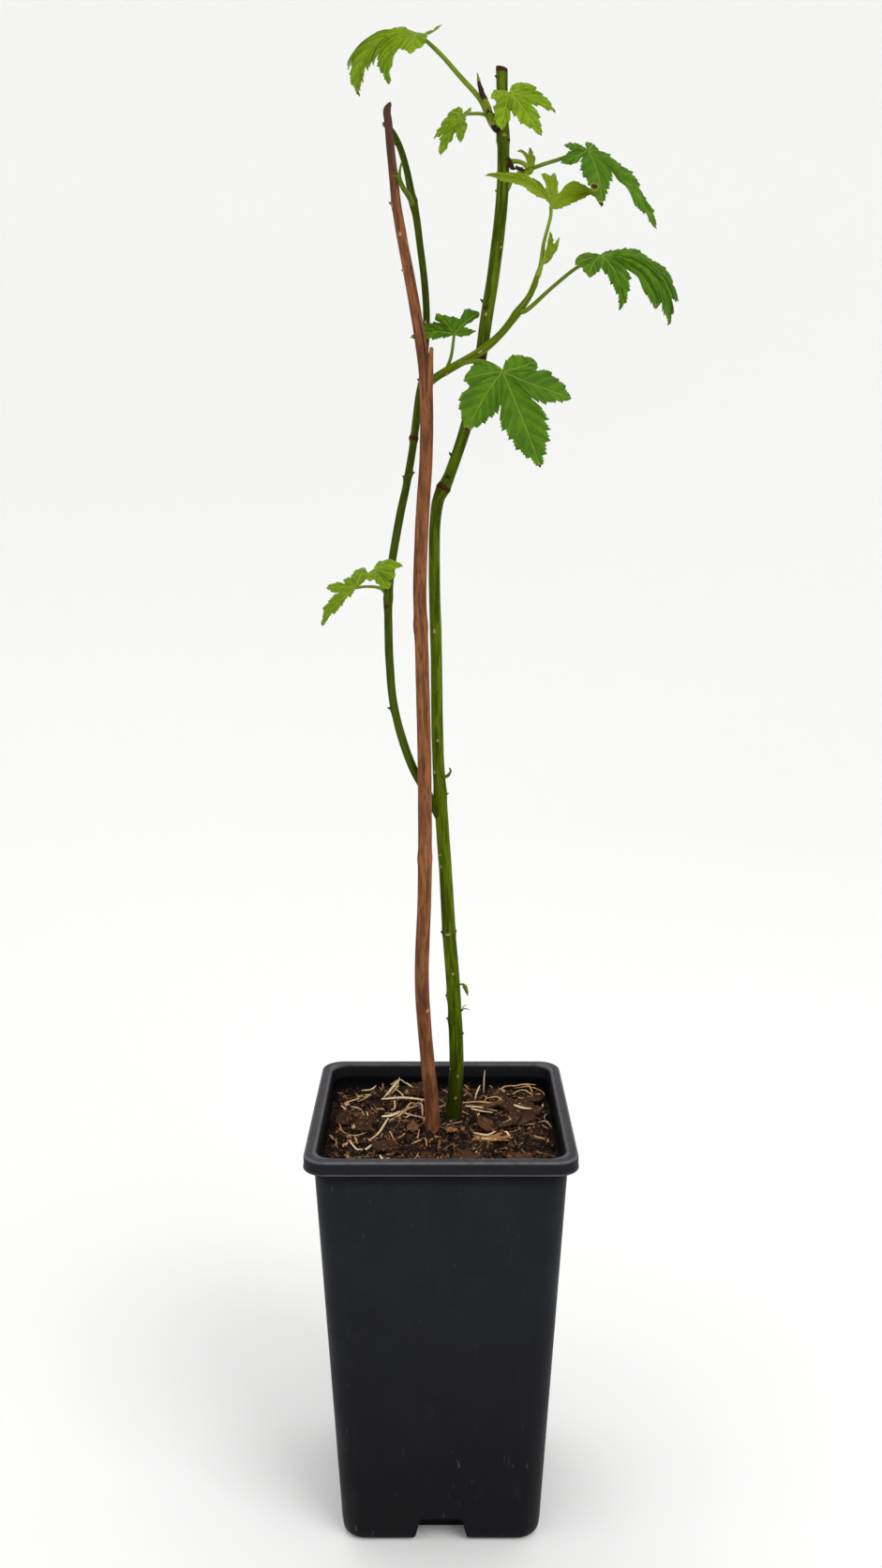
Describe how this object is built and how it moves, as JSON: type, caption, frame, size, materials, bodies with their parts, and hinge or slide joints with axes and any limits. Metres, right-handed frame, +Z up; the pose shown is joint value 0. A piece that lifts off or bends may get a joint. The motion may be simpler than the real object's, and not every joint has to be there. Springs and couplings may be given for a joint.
{
  "type": "potted sweet leaf bramble",
  "caption": "Young sweet leaf bramble in a tall square black nursery pot: slender green canes, an old brown cane and lobed toothed leaves.",
  "frame": {"origin": "middle of the flat underside of the pot, on the surface the pot stands on", "axes": "+Z up; -Y is the side seen from the front; +X to the right seen from the front"},
  "size_m": [0.2006, 0.15, 0.8384],
  "materials": {
    "pot_plastic": "satin black polypropylene",
    "compost": "rough bark compost",
    "green_cane": "smooth green bark with small scars",
    "dry_cane": "dry ridged brown bark",
    "leaf": "soft satin leaf with sunken veins",
    "young_leaf": "fresh yellow-green leaf"
  },
  "bodies": {
    "root": {"pot": "pot_plastic", "compost": "compost", "trunk": "green_cane", "left_shoot_low": "green_cane", "left_shoot_high": "green_cane", "dead_cane": "dry_cane", "side_branch": "green_cane", "top_spray": "leaf", "upper_spray": "leaf", "bud_spray": "young_leaf", "right_spray": "leaf", "tip_spray": "young_leaf", "broad_leaf": "leaf", "low_leaf": "leaf", "left_spray": "young_leaf", "left_bud": "young_leaf"}
  },
  "joints": []
}
